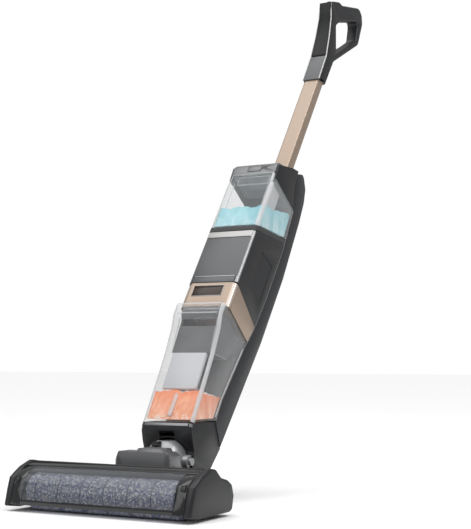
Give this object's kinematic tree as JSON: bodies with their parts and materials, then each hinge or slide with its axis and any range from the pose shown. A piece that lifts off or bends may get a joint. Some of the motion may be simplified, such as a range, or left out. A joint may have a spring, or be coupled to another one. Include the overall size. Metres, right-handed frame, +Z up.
{
  "type": "wet dry floor scrubber",
  "caption": "Upright cordless wet and dry floor scrubber with a powered roller head, clear clean and dirty water tanks, a champagne tube and a loop handle, leaned back on its neck joint.",
  "frame": {"origin": "bottom centre of the whole machine's box as it stands leaned back, on the floor", "axes": "+Z up, -Y the machine's front, +X its right-hand side, which is the width of the roller head"},
  "size_m": [0.28, 0.8322, 0.8459],
  "materials": {
    "dark_shell": "satin near-black moulded shell",
    "dark_gloss": "dark gloss",
    "clear_cover": "clear smoked roller window",
    "clear_tank": "clear tank wall",
    "microfibre": "flecked blue-grey microfibre",
    "neck_silver": "silver-grey satin",
    "satin_grey": "mid grey satin panel",
    "pale_trim": "pale silver trim",
    "champagne": "champagne satin",
    "champagne_plastic": "champagne moulded collar",
    "rubber_black": "soft black rubber",
    "tyre_grey": "soft wheel",
    "steel": "bright steel",
    "motor_metal": "cast",
    "inner_plastic": "inner mouldings",
    "white_plastic": "pale grey plastic",
    "board_green": "circuit board",
    "battery_blue": "shrink sleeve",
    "brass": "contact pads",
    "clear_orange": "dark tinted window"
  },
  "bodies": {
    "floor_head": {"left_side_cap": "dark_shell", "right_side_cap": "dark_shell", "roller_motor": "motor_metal", "head_housing": "dark_shell", "sole_plate": "inner_plastic", "scraper_bar": "rubber_black", "spray_bar": "inner_plastic", "suction_duct": "inner_plastic", "neck_housing": "dark_shell", "rear_carriage": "inner_plastic", "wheel_axle": "steel", "head_screws": "steel"},
    "roller_cover": {"cover_window": "clear_cover", "cover_frame": "dark_gloss"},
    "left_latch": {"left_cover_latch": "dark_shell"},
    "right_latch": {"right_cover_latch": "dark_shell"},
    "roller": {"roller_core": "inner_plastic", "roller_fabric": "microfibre", "roller_end_cap": "dark_shell"},
    "left_rear_wheel": {"left_wheel": "tyre_grey"},
    "right_rear_wheel": {"right_wheel": "tyre_grey"},
    "neck": {"neck_dome": "neck_silver", "neck_hose": "rubber_black"},
    "machine_body": {"base_box": "dark_shell", "spine_cover": "dark_shell", "inner_frame": "inner_plastic", "motor_housing": "dark_shell", "front_panel": "satin_grey", "silver_trim": "pale_trim", "exhaust_grilles": "dark_shell", "suction_motor": "motor_metal", "battery_pack": "battery_blue", "control_board": "board_green", "water_pump": "white_plastic", "dirty_duct": "inner_plastic", "tank_gasket": "rubber_black", "top_cap": "dark_shell", "tube_socket": "inner_plastic", "charging_contacts": "brass", "body_screws": "steel"},
    "fan": {"fan_impeller": "motor_metal"},
    "clean_tank": {"clean_tank_shell": "clear_tank", "clean_tank_lid": "satin_grey", "filler_cap": "white_plastic"},
    "clean_release": {"clean_tank_button": "pale_trim"},
    "dirty_tank": {"dirty_tank_shell": "clear_tank", "tank_collar": "champagne_plastic", "filter_box": "inner_plastic", "filter_panel": "white_plastic"},
    "dirty_release": {"tank_latch": "clear_orange"},
    "tube_release": {"tube_lock_button": "satin_grey"},
    "handle": {"handle_tube": "champagne", "left_handle_shell": "dark_shell", "right_handle_shell": "dark_shell", "sleeve_panel": "satin_grey", "stem_cover": "dark_gloss", "grip_pad": "satin_grey"},
    "trigger_lever": {"trigger": "pale_trim"},
    "power_key": {"power_button": "pale_trim"},
    "mode_key": {"mode_button": "satin_grey"}
  },
  "joints": [
    {"name": "neck_swivel", "type": "hinge", "parent": "floor_head", "child": "neck", "pos_m": [0, -0.24705, 0.057], "axis": [0, 0, 1], "range_deg": [-30, 30]},
    {"name": "recline", "type": "hinge", "parent": "neck", "child": "machine_body", "pos_m": [0, -0.24705, 0.057], "axis": [-1, 0, 0], "range_deg": [-35.4, 35]},
    {"name": "roller_spin", "type": "hinge", "parent": "floor_head", "child": "roller", "pos_m": [0, -0.38405, 0.024], "axis": [1, 0, 0], "continuous": true},
    {"name": "left_wheel_spin", "type": "hinge", "parent": "floor_head", "child": "left_rear_wheel", "pos_m": [0, -0.27706, 0.025], "axis": [1, 0, 0], "continuous": true},
    {"name": "right_wheel_spin", "type": "hinge", "parent": "floor_head", "child": "right_rear_wheel", "pos_m": [0, -0.27706, 0.025], "axis": [1, 0, 0], "continuous": true},
    {"name": "roller_cover_lift", "type": "slide", "parent": "floor_head", "child": "roller_cover", "axis": [0, 0, 1], "range_m": [0, 0.06]},
    {"name": "left_latch_press", "type": "slide", "parent": "roller_cover", "child": "left_latch", "axis": [0, 1, 0], "range_m": [0, 0.002], "stiffness_N_per_m": 300},
    {"name": "right_latch_press", "type": "slide", "parent": "roller_cover", "child": "right_latch", "axis": [0, 1, 0], "range_m": [0, 0.002], "stiffness_N_per_m": 300},
    {"name": "fan_spin", "type": "hinge", "parent": "machine_body", "child": "fan", "pos_m": [0, -0.04952, 0.33496], "axis": [0, 0.5793, 0.8151], "continuous": true},
    {"name": "clean_tank_removal", "type": "slide", "parent": "machine_body", "child": "clean_tank", "axis": [0, -0.8151, 0.5793], "range_m": [0, 0.1]},
    {"name": "clean_release_press", "type": "slide", "parent": "clean_tank", "child": "clean_release", "axis": [0, 0.8151, -0.5793], "range_m": [0, 0.0015], "stiffness_N_per_m": 400},
    {"name": "dirty_tank_removal", "type": "slide", "parent": "machine_body", "child": "dirty_tank", "axis": [0, -0.8151, 0.5793], "range_m": [0, 0.1]},
    {"name": "dirty_release_press", "type": "slide", "parent": "dirty_tank", "child": "dirty_release", "axis": [0, 0.8151, -0.5793], "range_m": [0, 0.0015], "stiffness_N_per_m": 400},
    {"name": "tube_release_press", "type": "slide", "parent": "machine_body", "child": "tube_release", "axis": [0, -0.8151, 0.5793], "range_m": [0, 0.003], "stiffness_N_per_m": 400},
    {"name": "handle_pull_out", "type": "slide", "parent": "machine_body", "child": "handle", "axis": [0, 0.5793, 0.8151], "range_m": [0, 0.045]},
    {"name": "trigger_squeeze", "type": "slide", "parent": "handle", "child": "trigger_lever", "axis": [0, -0.8151, 0.5793], "range_m": [0, 0.004], "stiffness_N_per_m": 300},
    {"name": "power_press", "type": "slide", "parent": "handle", "child": "power_key", "axis": [0, 0.1966, -0.9805], "range_m": [0, 0.001], "stiffness_N_per_m": 400},
    {"name": "mode_press", "type": "slide", "parent": "handle", "child": "mode_key", "axis": [0, 0.1966, -0.9805], "range_m": [0, 0.001], "stiffness_N_per_m": 400}
  ]
}
